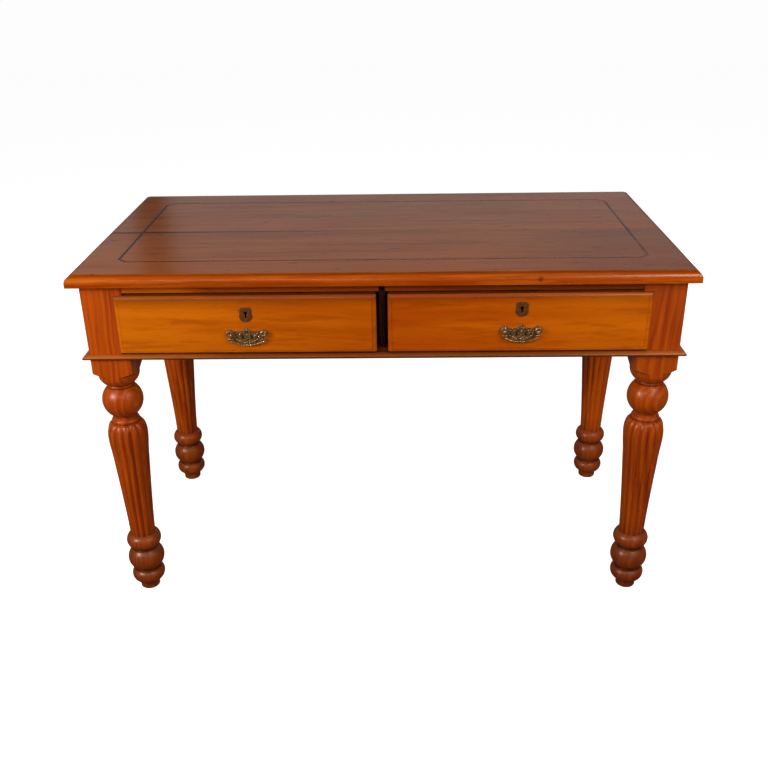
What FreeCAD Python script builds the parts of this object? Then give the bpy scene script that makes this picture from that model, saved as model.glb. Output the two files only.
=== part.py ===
import FreeCAD, Part
import math
import os

# Overall sizes of the desk, in millimetres. The origin is on the floor under the middle of the top,
# with +X to the sitter's right, +Y away from the sitter and +Z up.
desk_height = 770.0
top_width = 1220.0
top_depth = 640.0
top_thickness = 24.0
side_overhang = 20.0
front_overhang = 20.0
back_overhang = 56.0
carcass_height = 155.0

# Moulded edge of the top: a small step, a rounded stretch, and a flat edge below it
top_step = 2.0
top_round_width = 13.8
top_round_drop = 11.5

# The top's two boards and the dark line let into them
board_joint_y = -22.0
joint_vee = 0.7
inlay_side_inset = 78.0
inlay_front_inset = 88.0
inlay_width = 5.0
inlay_depth = 2.0
inlay_cant = 18.0

# Square leg post
post_size = 82.0
post_corner = 2.0
block_drop = 35.0

# Turned parts of a leg, from the floor up
foot_height = 18.0
foot_radius = 21.3
foot_top_radius = 22.4
foot_rounding = 3.0
low_ring_height = 33.0
low_ring_radius = 36.3
low_groove_radius = 27.2
middle_ring_height = 50.0
middle_ring_radius = 39.9
high_groove_radius = 26.2
high_ring_height = 36.0
high_ring_radius = 37.9
groove_height = 2.6
fillet_height = 2.4
fillet_step = 3.0
reed_count = 14
reed_foot_radius = 27.2
reed_head_radius = 41.9
reed_neck_radius = 28.8
reed_foot_depth = 2.2
reed_head_depth = 3.4
reed_neck_depth = 1.6
reed_dome_height = 33.0
reed_swell_power = 1.25
collar_height = 19.0
collar_radius = 28.0
collar_waist_radius = 25.5
ball_height = 64.0
ball_radius = 42.2
neck_height = 7.0
neck_radius = 28.0
neck_bead = 2.6
bowl_height = 26.0
bowl_foot_radius = 28.6
bowl_radius = 42.4
shoulder_height = 10.0

# Aprons, rails and partition
apron_thickness = 22.0
tenon_length = 28.0
tenon_thickness = 10.0
tenon_shoulder = 15.0
rail_depth = 60.0
rail_thickness = 18.0
rail_tenon_length = 24.0
rail_tenon_shoulder = 4.0
top_rail_height = 18.0
top_rail_thickness = 22.0
top_rail_setback = 2.0
partition_thickness = 12.0
partition_setback = 14.0

# Moulding planted round the foot of the carcass
base_projection = 11.6
base_height = 9.0
base_nose = 6.0
base_rounding = 1.6

# Runners, guides and kickers
centre_runner_width = 72.0
side_runner_width = 34.0
guide_thickness = 6.2
guide_height = 25.0
kicker_width = 30.0

# Drawer fit in its opening
guide_gap = 0.8
post_gap = 1.5
runner_gap = 0.3
kicker_gap = 4.0
back_gap = 15.0
lip_gap = 0.3
front_spacing = 22.4
post_lip = 16.0
moulding_gap = 1.0

# Drawer boards
lip_thickness = 9.0
front_inner_thickness = 13.0
front_step = 1.2
front_round_width = 8.5
front_round_drop = 5.0
side_thickness = 12.0
back_thickness = 12.0
panel_thickness = 6.0
panel_rise = 10.0
groove_depth = 6.0
tail_count = 4
tail_length = 10.0
tail_share = 0.3
tail_slope = 0.14

# Where the metalwork sits on each drawer front, from the middle of that front.
# It was fitted by hand, so the two drawers differ by a few millimetres.
pull_shift = {"left": -1.0, "right": 4.5}
pull_drop = {"left": 15.0, "right": 12.0}
keyhole_rise = {"left": 23.0, "right": 30.0}

# Key plate
plate_width = 26.5
plate_height = 30.5
plate_thickness = 1.2
plate_pin_radius = 0.7
plate_pin_head = 1.3
plate_pin_length = 8.0
plate_pin_inset = 3.4
keyhole_radius = 3.3
keyhole_slot = 3.2
keyhole_length = 9.5

# Drawer lock
lock_width = 60.0
lock_depth = 10.0
lock_below_key = 24.0
bolt_width = 22.0
bolt_thickness = 5.0
bolt_throw = 10.0
bolt_back_wall = 2.5
bolt_gap = 0.2
bolt_top_gap = 0.5
bolt_foot = 14.0
bolt_notch_width = 10.0
bolt_notch_rise = 6.0
lock_pin_radius = 1.2
strike_length = 40.0
strike_depth = 9.4
strike_thickness = 1.5
strike_slot_gap = 0.4

# Screws
lock_screw_radius = 1.75
lock_screw_length = 17.0
lock_screw_inset = 7.0
strike_screw_radius = 1.25
strike_screw_length = 12.0
strike_screw_inset = 5.0
top_screw_radius = 2.2
top_screw_bite = 13.0
head_ratio = 1.9

# Wooden buttons that hold the top down
button_length = 34.0
button_width = 30.0
button_height = 18.0
button_tongue = 8.0
button_tongue_height = 6.0
button_tongue_drop = 9.0
button_play = 0.2
side_button_spacing = 210.0
back_button_spacing = 500.0
rail_screw_spacing = 250.0

# Cast handle: plate with two lugs, two bolts with dished heads, and the bail
boss_spacing = 67.0
boss_radius = 7.0
boss_length = 7.0
boss_rim = 1.6
dish_radius = 4.0
dish_depth = 2.4
handle_bolt_radius = 2.5
handle_hole_gap = 0.2
nut_width = 8.0
nut_thickness = 4.0
bolt_tail = 1.5
handle_plate_thickness = 2.0
handle_plate_end_radius = 8.2
handle_plate_dip = 23.3
handle_plate_rise = 4.0
palmette_width = 17.0
palmette_top = 10.8
piercing_width = 3.4
piercing_height = 9.0
lug_radius = 2.8
lug_length = 5.0
lug_inset = 3.5
lug_drop = 11.5
lug_standoff = 4.0
lug_web = 3.6
bail_radius = 1.7
bail_pin_radius = 1.25
bail_pin_gap = 0.05
bail_pin_reach = 4.4
bail_side_gap = 0.4
bail_eye_radius = 2.1
bail_drop = 12.4
bail_grip_radius = 75.0
bail_bend_radius = 4.5
bead_radius = 2.4
bead_spacing = 6.6

V = FreeCAD.Vector

# How far the middle of a quarter round lies from each of its two tangents, for a radius of 1
ARC_MIDDLE = 1 - math.sqrt(0.5)

# Lines that the pieces share
half_width = top_width / 2 - side_overhang
front = -top_depth / 2 + front_overhang
back = top_depth / 2 - back_overhang
under_top = desk_height - top_thickness
carcass_bottom = under_top - carcass_height
post_inner = half_width - post_size
front_post_back = front + post_size
back_post_front = back - post_size
back_inner = back - apron_thickness
opening_bottom = carcass_bottom + rail_thickness
opening_top = under_top - top_rail_height
rail_back = front + rail_depth
top_rail_front = front + top_rail_setback
top_rail_back = top_rail_front + top_rail_thickness
partition_half = partition_thickness / 2

# Lines of a drawer, measured outwards from the middle of the desk
drawer_inner = partition_half + guide_thickness + guide_gap
drawer_outer = post_inner - post_gap
drawer_bottom = opening_bottom + runner_gap
drawer_top = opening_top - kicker_gap
drawer_back = back_inner - back_gap
lip_inner = front_spacing / 2
lip_outer = post_inner + post_lip
lip_bottom = carcass_bottom + base_height + moulding_gap
lip_top = drawer_top
lip_back = front - lip_gap
lip_front = lip_back - lip_thickness
front_back = lip_back + front_inner_thickness
front_middle_x = (lip_inner + lip_outer) / 2
front_middle_z = (lip_bottom + lip_top) / 2
panel_bottom = drawer_bottom + panel_rise
panel_top = panel_bottom + panel_thickness
bolt_back = front_back - bolt_back_wall
bolt_front = bolt_back - bolt_thickness


def in_xy(u, v):
    return V(u, v, 0)


def in_xz(u, v):
    return V(u, 0, v)


def in_yz(u, v):
    return V(0, u, v)


def box(x0, x1, y0, y1, z0, z1):
    return Part.makeBox(x1 - x0, y1 - y0, z1 - z0, V(x0, y0, z0))


def rod(radius, start, end):
    return Part.makeCylinder(radius, (end - start).Length, start, end - start)


def outline(plane, start, *steps):
    """A closed face: a step is a point, for a line, or a pair of points, for an arc through the first."""
    edges = []
    here = start
    for step in steps + (start,):
        if isinstance(step[0], tuple):
            edges.append(Part.Arc(plane(*here), plane(*step[0]), plane(*step[1])).toShape())
            here = step[1]
        elif step != here:
            edges.append(Part.LineSegment(plane(*here), plane(*step)).toShape())
            here = step
    return Part.Face(Part.Wire(edges))


def turned(start, *steps):
    """A solid of revolution about Z from its half outline of radius and height."""
    return outline(in_xz, start, *steps).revolve(V(0, 0, 0), V(0, 0, 1), 360)


def join(first, *others):
    return first.fuse(list(others)).removeSplitter()


def mirrored(shape):
    return shape.mirror(V(0, 0, 0), V(1, 0, 0))


def sided(shape, name):
    """A piece built for the right side of the desk, put on the named side."""
    return shape if name == "right" else mirrored(shape)


def moved(shape, x, y, z):
    copy = shape.copy()
    copy.translate(V(x, y, z))
    return copy


def countersunk(radius, length, head, direction):
    """A flush wood screw whose head lies at the point, and which points in the direction."""
    wide = radius * head_ratio
    cone = Part.makeCone(wide, radius, wide - radius, head, direction)
    return join(cone, Part.makeCylinder(radius, length, head, direction))


def save(node, *solids):
    shape = solids[0] if len(solids) == 1 else Part.makeCompound(list(solids))
    shape.exportStep(os.path.join("parts", node + ".step"))


def edge_profile(plane, half, thickness, step, round_width, round_drop):
    """Section of a plate with its face at height 0 and the same moulding on both edges."""
    low = -step - round_drop
    bulge_u = half - 0.27 * round_width
    bulge_v = -step - 0.32 * round_drop
    return outline(
        plane, (-half, -thickness), (half, -thickness), (half, low),
        ((bulge_u, bulge_v), (half - round_width, -step)), (half - round_width, 0),
        (-half + round_width, 0), (-half + round_width, -step), ((-bulge_u, bulge_v), (-half, low)))


def moulded_plate(width, depth, thickness, step, round_width, round_drop):
    """A plate face up at height 0, with one moulding round all four edges that mitres at the corners."""
    sides = edge_profile(in_xz, width / 2, thickness, step, round_width, round_drop)
    ends = edge_profile(in_yz, depth / 2, thickness, step, round_width, round_drop)
    along_y = moved(sides, 0, -depth / 2, 0).extrude(V(0, depth, 0))
    along_x = moved(ends, -width / 2, 0, 0).extrude(V(width, 0, 0))
    return along_y.common(along_x)


# Legs
def reed_section(height, crest, depth):
    step = 2 * math.pi / reed_count
    edges = []
    for i in range(reed_count):
        points = []
        for radius, turn in ((crest - depth, i - 0.5), (crest, i), (crest - depth, i + 0.5)):
            points.append(V(radius * math.cos(turn * step), radius * math.sin(turn * step), height))
        edges.append(Part.Arc(*points).toShape())
    return Part.Wire(edges)


def reeded_shaft(bottom, top):
    """The reeded taper: it swells faster towards the head and closes over in a dome."""
    shoulder = top - reed_dome_height
    sections = []
    for t in (0, 0.12, 0.25, 0.4, 0.55, 0.7, 0.85, 1):
        swell = t ** reed_swell_power
        crest = reed_foot_radius + (reed_head_radius - reed_foot_radius) * swell
        depth = reed_foot_depth + (reed_head_depth - reed_foot_depth) * swell
        sections.append(reed_section(bottom + (shoulder - bottom) * t, crest, depth))
    for t in (0.3, 0.55, 0.75, 0.9, 1):
        close = math.sqrt(1 - t * t)
        crest = reed_neck_radius + (reed_head_radius - reed_neck_radius) * close
        depth = reed_neck_depth + (reed_head_depth - reed_neck_depth) * close
        sections.append(reed_section(shoulder + reed_dome_height * t, crest, depth))
    return Part.makeLoft(sections, True, False)


def make_leg():
    low_ring = foot_height
    low_fillet = low_ring + low_ring_height
    low_groove = low_fillet + fillet_height
    middle_ring = low_groove + groove_height
    high_fillet = middle_ring + middle_ring_height
    high_groove = high_fillet + fillet_height
    high_ring = high_groove + groove_height
    reeds = high_ring + high_ring_height
    low_fillet_radius = low_groove_radius + fillet_step
    high_fillet_radius = high_groove_radius + fillet_step
    block = carcass_bottom - block_drop
    bowl = block - shoulder_height - bowl_height
    ball_top = bowl - neck_height
    ball_bottom = ball_top - ball_height
    collar = ball_bottom - collar_height
    ball_end = math.sqrt(ball_radius ** 2 - (ball_height / 2) ** 2)
    corner = post_size / math.sqrt(2)

    rings = turned(
        (0, 0), (foot_radius - foot_rounding, 0),
        ((foot_radius - ARC_MIDDLE * foot_rounding, ARC_MIDDLE * foot_rounding),
         (foot_radius, foot_rounding)),
        (foot_top_radius, low_ring),
        ((foot_top_radius + 0.68 * (low_ring_radius - foot_top_radius), low_ring + 0.2 * low_ring_height),
         (low_ring_radius, low_ring + 0.55 * low_ring_height)),
        ((low_ring_radius - 0.24 * (low_ring_radius - low_fillet_radius),
          low_ring + 0.82 * low_ring_height), (low_fillet_radius, low_fillet)),
        (low_fillet_radius, low_groove), (low_groove_radius, low_groove), (low_groove_radius, middle_ring),
        ((middle_ring_radius, middle_ring + middle_ring_height / 2), (high_fillet_radius, high_fillet)),
        (high_fillet_radius, high_groove), (high_groove_radius, high_groove), (high_groove_radius, high_ring),
        ((high_ring_radius, high_ring + 0.52 * high_ring_height), (reed_foot_radius, reeds)), (0, reeds))
    shaft = reeded_shaft(reeds, collar)
    knob = turned(
        (0, collar), (collar_radius, collar),
        ((collar_radius + 0.05 * collar_height, collar + 0.22 * collar_height),
         (collar_radius - 0.02 * collar_height, collar + 0.42 * collar_height)),
        (collar_waist_radius, collar + 0.5 * collar_height),
        ((collar_waist_radius - 0.02 * collar_height, collar + 0.8 * collar_height),
         (ball_end, ball_bottom)),
        ((ball_radius, (ball_bottom + ball_top) / 2), (ball_end, ball_top)),
        (neck_radius - neck_bead, ball_top),
        ((neck_radius, ball_top + neck_height / 2), (neck_radius - neck_bead, bowl)), (0, bowl))
    post = box(-post_size / 2, post_size / 2, -post_size / 2, post_size / 2, bowl, under_top)
    upright = [edge for edge in post.Edges if edge.BoundBox.ZLength > post_size]
    post = post.makeFillet(post_corner, upright)
    cup = turned(
        (0, bowl), (bowl_foot_radius, bowl),
        ((bowl_foot_radius + 0.68 * (bowl_radius - bowl_foot_radius), bowl + 0.36 * bowl_height),
         (bowl_radius, bowl + bowl_height)),
        (corner, block), (corner, under_top), (0, under_top))
    return join(rings, shaft, knob, post.common(cup))


# Aprons and rails
def make_side_apron():
    """The right apron: a board flush with the posts and a tenon at each end."""
    middle = half_width - apron_thickness / 2
    board = box(half_width - apron_thickness, half_width, front_post_back, back_post_front,
                carcass_bottom, under_top)
    tenon = box(middle - tenon_thickness / 2, middle + tenon_thickness / 2,
                front_post_back - tenon_length, back_post_front + tenon_length,
                carcass_bottom + tenon_shoulder, under_top - tenon_shoulder)
    return join(board, tenon)


def make_back_apron():
    middle = back - apron_thickness / 2
    board = box(-post_inner, post_inner, back_inner, back, carcass_bottom, under_top)
    reach = post_inner + tenon_length
    tenon = box(-reach, reach, middle - tenon_thickness / 2, middle + tenon_thickness / 2,
                carcass_bottom + tenon_shoulder, under_top - tenon_shoulder)
    return join(board, tenon)


def make_bottom_rail():
    board = box(-post_inner, post_inner, front, rail_back, carcass_bottom, opening_bottom)
    reach = post_inner + rail_tenon_length
    tenon = box(-reach, reach, front + tenon_shoulder, rail_back - tenon_shoulder,
                carcass_bottom + rail_tenon_shoulder, opening_bottom - rail_tenon_shoulder)
    return join(board, tenon)


def make_top_rail():
    """The right rail over a drawer, from the partition to the post."""
    board = box(partition_half, post_inner, top_rail_front, top_rail_back, opening_top, under_top)
    tenon = box(post_inner, post_inner + rail_tenon_length,
                top_rail_front + rail_tenon_shoulder, top_rail_back - rail_tenon_shoulder,
                opening_top + rail_tenon_shoulder, under_top - rail_tenon_shoulder)
    return join(board, tenon)


# Moulding at the foot of the carcass
def base_profile(plane):
    """Section of the moulding: projection and height, with a rounded nose and a sloping top."""
    return outline(
        plane, (0, 0), (base_projection - base_rounding, 0),
        ((base_projection, base_nose / 2), (base_projection - base_rounding, base_nose)), (0, base_height))


def make_front_moulding():
    reach = half_width + base_projection

    def outwards(u, v):
        return V(-reach, front - u, carcass_bottom + v)

    length = base_profile(outwards).extrude(V(2 * reach, 0, 0))
    mitres = outline(in_xy, (-half_width, front), (half_width, front), (reach, front - base_projection),
                     (-reach, front - base_projection))
    return length.common(moved(mitres, 0, 0, carcass_bottom).extrude(V(0, 0, base_height)))


def make_side_moulding():
    reach = half_width + base_projection

    def outwards(u, v):
        return V(half_width + u, front - base_projection, carcass_bottom + v)

    length = base_profile(outwards).extrude(V(0, back - front + base_projection, 0))
    mitre = outline(in_xy, (half_width, front), (half_width, back), (reach, back),
                    (reach, front - base_projection))
    return length.common(moved(mitre, 0, 0, carcass_bottom).extrude(V(0, 0, base_height)))


# Top fixings
def make_button():
    """A button against an apron at its left: the apron's face is at 0, and the top's underside too."""
    body = box(0, button_length, -button_width / 2, button_width / 2, -button_height, 0)
    return join(body, make_tongue(0))


def make_tongue(play):
    middle = -button_tongue_drop
    return box(-button_tongue - play, 0, -button_width / 2 - play, button_width / 2 + play,
               middle - button_tongue_height / 2 - play, middle + button_tongue_height / 2 + play)


def make_button_screw():
    head = V(button_length / 2, 0, -button_height)
    return countersunk(top_screw_radius, button_height + top_screw_bite, head, V(0, 0, 1))


def at_aprons(shape):
    """Copies of a button, its slot or its screw at each place along the aprons."""
    copies = []
    middle = (front_post_back + back_post_front) / 2
    for offset in (-side_button_spacing / 2, side_button_spacing / 2):
        for turn, x in ((0, -half_width + apron_thickness), (180, half_width - apron_thickness)):
            copies.append(placed(shape, turn, x, middle + offset))
    for x in (-back_button_spacing / 2, back_button_spacing / 2):
        copies.append(placed(shape, -90, x, back_inner))
    return copies


def placed(shape, turn, x, y):
    copy = shape.copy()
    copy.rotate(V(0, 0, 0), V(0, 0, 1), turn)
    copy.translate(V(x, y, under_top))
    return copy


def make_rail_screws():
    """The screws of the right top rail, driven up into the top on both sides of the lock."""
    middle = (top_rail_front + top_rail_back) / 2
    screws = []
    for offset in (-rail_screw_spacing / 2, rail_screw_spacing / 2):
        head = V(front_middle_x + offset, middle, opening_top)
        screws.append(countersunk(top_screw_radius, top_rail_height + top_screw_bite, head, V(0, 0, 1)))
    return screws


# Top boards and inlay
def canted(half_x, half_y, cant):
    short_x = half_x - cant
    short_y = half_y - cant
    return [(half_x, -short_y), (half_x, short_y), (short_x, half_y), (-short_x, half_y),
            (-half_x, short_y), (-half_x, -short_y), (-short_x, -half_y), (short_x, -half_y)]


def make_inlay():
    """Eight strips round the top, mitred to each other, flush with its face."""
    half_x = top_width / 2 - inlay_side_inset
    half_y = top_depth / 2 - inlay_front_inset
    narrow = inlay_width * math.tan(math.pi / 8)
    outer = canted(half_x, half_y, inlay_cant)
    inner = canted(half_x - inlay_width, half_y - inlay_width, inlay_cant - inlay_width + narrow)
    strips = []
    for i in range(len(outer)):
        j = (i + 1) % len(outer)
        face = outline(in_xy, outer[i], outer[j], inner[j], inner[i])
        strips.append(moved(face, 0, 0, desk_height - inlay_depth).extrude(V(0, 0, inlay_depth)))
    return strips


def make_top():
    plate = moulded_plate(top_width, top_depth, top_thickness, top_step, top_round_width, top_round_drop)
    return moved(plate, 0, 0, desk_height)


def make_joint_vee():
    """The worn open line where the two boards of the top meet."""
    vee = outline(in_yz, (board_joint_y - joint_vee, desk_height), (board_joint_y + joint_vee, desk_height),
                  (board_joint_y, desk_height - 2 * joint_vee))
    return moved(vee, -top_width / 2, 0, 0).extrude(V(top_width, 0, 0))


# Drawer woodwork, for the right drawer
def make_tails(x0, x1, z0, z1, y, length):
    """Dovetails on the end of a drawer side: they widen from y to their tips, length away."""
    pitch = (z1 - z0) / tail_count
    root = pitch * tail_share
    tip = root + abs(length) * tail_slope
    tails = []
    for i in range(tail_count):
        middle = z0 + (i + 0.5) * pitch
        face = outline(in_yz, (y, middle - root), (y + length, middle - tip), (y + length, middle + tip),
                       (y, middle + root))
        tails.append(moved(face, x0, 0, 0).extrude(V(x1 - x0, 0, 0)))
    return tails


def make_drawer_side(x0, x1, panel):
    back_start = drawer_back - back_thickness
    board = box(x0, x1, front_back, back_start, drawer_bottom, drawer_top)
    heel = box(x0, x1, back_start, drawer_back, drawer_bottom, panel_top)
    front_tails = make_tails(x0, x1, drawer_bottom, drawer_top, front_back, -tail_length)
    back_tails = make_tails(x0, x1, panel_top, drawer_top, back_start, back_thickness)
    return join(board, heel, *front_tails, *back_tails).cut(panel)


def make_panel():
    return box(drawer_inner + side_thickness - groove_depth, drawer_outer - side_thickness + groove_depth,
               front_back - groove_depth, drawer_back, panel_bottom, panel_top)


def make_drawer_back(sides):
    board = box(drawer_inner, drawer_outer, drawer_back - back_thickness, drawer_back,
                panel_top, drawer_top)
    return board.cut(sides)


def make_front_blank():
    lip = moulded_plate(lip_outer - lip_inner, lip_top - lip_bottom, lip_thickness,
                        front_step, front_round_width, front_round_drop)
    lip.rotate(V(0, 0, 0), V(1, 0, 0), 90)
    lip = moved(lip, front_middle_x, lip_front, front_middle_z)
    inner = box(drawer_inner, drawer_outer, lip_back, front_back, drawer_bottom, drawer_top)
    return join(lip, inner)


# Lock, key plate and strike, for the right drawer
def make_keyhole(x, z):
    """A key-shaped cutter from in front of the key plate to behind the lock's front wall."""
    start = lip_front - plate_thickness
    length = bolt_back - start
    hole = Part.makeCylinder(keyhole_radius, length, V(x, start, z), V(0, 1, 0))
    slot = box(x - keyhole_slot / 2, x + keyhole_slot / 2, start, start + length, z - keyhole_length, z)
    return join(hole, slot)


def make_key_plate(x, z, keyhole):
    """Shield with scooped top corners and a pointed foot, its keyhole a little over the middle."""
    w = plate_width / 2
    h = plate_height / 2
    middle = z - keyhole_length / 3

    def on_front(u, v):
        return V(x + u, lip_front, middle + v)

    face = outline(
        on_front, (-0.7 * w, h), (0.7 * w, h), ((0.78 * w, 0.84 * h), (0.97 * w, 0.72 * h)),
        ((0.88 * w, 0.3 * h), (0.96 * w, -0.2 * h)), ((0.73 * w, -0.71 * h), (0, -h)),
        ((-0.73 * w, -0.71 * h), (-0.96 * w, -0.2 * h)), ((-0.88 * w, 0.3 * h), (-0.97 * w, 0.72 * h)),
        ((-0.78 * w, 0.84 * h), (-0.7 * w, h)))
    plate = face.extrude(V(0, -plate_thickness, 0))
    pins = []
    for v in (h - plate_pin_inset, plate_pin_inset - h):
        foot = V(x, lip_front - plate_thickness, middle + v)
        shank = Part.makeCylinder(plate_pin_radius, plate_pin_length, foot, V(0, 1, 0))
        dome = Part.makeCone(plate_pin_head, plate_pin_radius, plate_pin_radius, foot, V(0, -1, 0))
        pins.append(join(shank, dome))
    return plate.cut([keyhole] + pins), pins


def make_lock(x, z, keyhole):
    """Case let into the back of the drawer front, its bolt, and the screws that hold the case."""
    case_front = front_back - lock_depth
    blank = box(x - lock_width / 2, x + lock_width / 2, case_front, front_back,
                z - lock_below_key, drawer_top)
    bolt_top = drawer_top - bolt_top_gap
    bolt = box(x - bolt_width / 2, x + bolt_width / 2, bolt_front, bolt_back, z - bolt_foot, bolt_top)
    notch = box(x - bolt_notch_width / 2, x + bolt_notch_width / 2, bolt_front, bolt_back,
                z - bolt_foot, z + bolt_notch_rise)
    channel = box(x - bolt_width / 2 - bolt_gap, x + bolt_width / 2 + bolt_gap,
                  bolt_front - bolt_gap, bolt_back + bolt_gap, z - bolt_foot - bolt_gap, drawer_top)
    pin = rod(lock_pin_radius, V(x, case_front, z), V(x, front_back, z))
    screws = []
    for side in (-1, 1):
        head = V(x + side * (lock_width / 2 - lock_screw_inset), front_back, z - lock_below_key / 3)
        screws.append(countersunk(lock_screw_radius, lock_screw_length, head, V(0, -1, 0)))
    case = join(blank.cut([channel, keyhole] + screws), pin)
    return blank, case, bolt.cut(notch), screws


def make_strike(x):
    """Plate let into the rail over the lock, the mortise for the bolt behind it, and two screws."""
    middle = (bolt_front + bolt_back) / 2
    half = bolt_thickness / 2 + strike_slot_gap
    reach = bolt_width / 2 + strike_slot_gap
    slot = box(x - reach, x + reach, middle - half, middle + half, opening_top,
               drawer_top - bolt_top_gap + bolt_throw + strike_slot_gap)
    blank = box(x - strike_length / 2, x + strike_length / 2,
                middle - strike_depth / 2, middle + strike_depth / 2,
                opening_top, opening_top + strike_thickness)
    screws = []
    for side in (-1, 1):
        head = V(x + side * (strike_length / 2 - strike_screw_inset), middle, opening_top)
        screws.append(countersunk(strike_screw_radius, strike_screw_length, head, V(0, 0, 1)))
    return blank.cut([slot] + screws), slot, screws


# Handle, for the right drawer: x and z are at the middle, level with the two bolts
def make_handle_bolt(x, z):
    plate_front = lip_front - handle_plate_thickness
    tail = plate_front - front_back - nut_thickness - bolt_tail
    ball = (dish_radius ** 2 + dish_depth ** 2) / (2 * dish_depth)
    half_turn = math.asin(dish_radius / ball) / 2
    dish = boss_length - dish_depth
    bolt = turned(
        (0, tail), (handle_bolt_radius, tail), (handle_bolt_radius, 0), (boss_radius, 0),
        (boss_radius, boss_length - boss_rim),
        ((boss_radius - ARC_MIDDLE * boss_rim, boss_length - ARC_MIDDLE * boss_rim),
         (boss_radius - boss_rim, boss_length)),
        (dish_radius, boss_length),
        ((ball * math.sin(half_turn), dish + ball * (1 - math.cos(half_turn))), (0, dish)))
    bolt.rotate(V(0, 0, 0), V(1, 0, 0), 90)
    return moved(bolt, x, plate_front, z)


def make_nut(x, z):
    corners = []
    for i in range(6):
        turn = math.radians(60 * i)
        reach = nut_width / math.sqrt(3)
        corners.append((x + reach * math.cos(turn), z + reach * math.sin(turn)))
    hexagon = moved(outline(in_xz, *corners), 0, front_back, 0).extrude(V(0, nut_thickness, 0))
    return hexagon.cut(rod(handle_bolt_radius, V(x, front_back, z), V(x, front_back + nut_thickness, z)))


def make_handle_plate(x, z):
    """Pierced crescent with a palmette rising over its middle, and a lug under each bolt for the bail."""
    plate_front = lip_front - handle_plate_thickness
    end = boss_spacing / 2
    axis_y = plate_front - lug_standoff

    def on_front(u, v):
        return V(x + u, lip_front, z + v)

    def ellipse(u, v, width, height):
        left = (u - width / 2, v)
        right = (u + width / 2, v)
        return outline(on_front, left, ((u, v + height / 2), right), ((u, v - height / 2), left))

    out = V(0, -handle_plate_thickness, 0)
    low_end = -0.6 * handle_plate_end_radius
    high_end = 0.4 * handle_plate_end_radius
    crescent = outline(
        on_front, (-end, low_end), ((0, -handle_plate_dip), (end, low_end)),
        (end, high_end), ((0, handle_plate_rise), (-end, high_end)))
    pieces = [crescent.extrude(out)]
    palmette_low = -0.3 * palmette_top
    palmette = outline(
        on_front, (-palmette_width / 2, palmette_low),
        ((-0.36 * palmette_width, 0.6 * palmette_top), (0, palmette_top)),
        ((0.36 * palmette_width, 0.6 * palmette_top), (palmette_width / 2, palmette_low)))
    pieces.append(palmette.extrude(out))
    cuts = []
    for side in (-1, 1):
        bolt_axis = V(x + side * end, lip_front, z)
        pieces.append(rod(handle_plate_end_radius, bolt_axis, bolt_axis + out))
        cuts.append(rod(handle_bolt_radius + handle_hole_gap, bolt_axis, bolt_axis + out))
        lug_near = x + side * (end - lug_inset - lug_length / 2)
        lug_far = x + side * (end - lug_inset + lug_length / 2)
        lug_z = z - lug_drop
        pieces.append(rod(lug_radius, V(lug_near, axis_y, lug_z), V(lug_far, axis_y, lug_z)))
        pieces.append(box(min(lug_near, lug_far), max(lug_near, lug_far), axis_y, plate_front,
                          lug_z - lug_web / 2, lug_z + lug_web / 2))
        bore = bail_pin_radius + bail_pin_gap
        cuts.append(rod(bore, V(lug_near, axis_y, lug_z), V(lug_far, axis_y, lug_z)))
        for share, size in ((0.27, 1.0), (0.6, 0.55)):
            middle_v = -0.34 * handle_plate_dip - 0.12 * handle_plate_dip * share
            opening = ellipse(side * share * end, middle_v, piercing_width, piercing_height * size)
            cuts.append(opening.extrude(out))
    return join(*pieces).cut(cuts)


def make_bail(x, z):
    """Round bar hung by a pin in each lug, with three beads at the middle of its grip."""
    axis_y = lip_front - handle_plate_thickness - lug_standoff
    axis_z = z - lug_drop
    lug_face = boss_spacing / 2 - lug_inset + lug_length / 2
    arm = lug_face + bail_side_gap + bail_eye_radius
    low = axis_z - bail_drop

    def at(u, v):
        return V(x + u, axis_y, v)

    def disc(u, v, normal):
        return Part.Face(Part.Wire(Part.Circle(at(u, v), normal, bail_radius).toShape()))

    # The grip is one wide arc, and a small bend at each end runs from it into the upright arm
    grip_z = low + bail_grip_radius
    bend_u = arm - bail_bend_radius
    bend_z = grip_z - math.sqrt((bail_grip_radius - bail_bend_radius) ** 2 - bend_u ** 2)
    bend_turn = math.degrees(math.atan2(grip_z - bend_z, bend_u))
    grip_turn = 90 - bend_turn
    grip_start = disc(0, low, V(1, 0, 0))
    grip_start.rotate(at(0, grip_z), V(0, 1, 0), grip_turn)
    pieces = [grip_start.revolve(at(0, grip_z), V(0, -1, 0), 2 * grip_turn)]
    for side in (-1, 1):
        bend = disc(side * arm, bend_z, V(0, 0, 1))
        pieces.append(bend.revolve(at(side * bend_u, bend_z), V(0, side, 0), bend_turn))
        pieces.append(rod(bail_radius, at(side * arm, bend_z), at(side * arm, axis_z)))
        pieces.append(Part.makeSphere(bail_eye_radius, at(side * arm, axis_z)))
        pieces.append(rod(bail_pin_radius, at(side * arm, axis_z),
                          at(side * (lug_face - bail_pin_reach), axis_z)))
    for i in (-1, 0, 1):
        bead = Part.makeSphere(bead_radius, at(0, low), V(1, 0, 0))
        bead.rotate(at(0, grip_z), V(0, 1, 0), math.degrees(i * bead_spacing / bail_grip_radius))
        pieces.append(bead)
    return join(*pieces)


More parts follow.
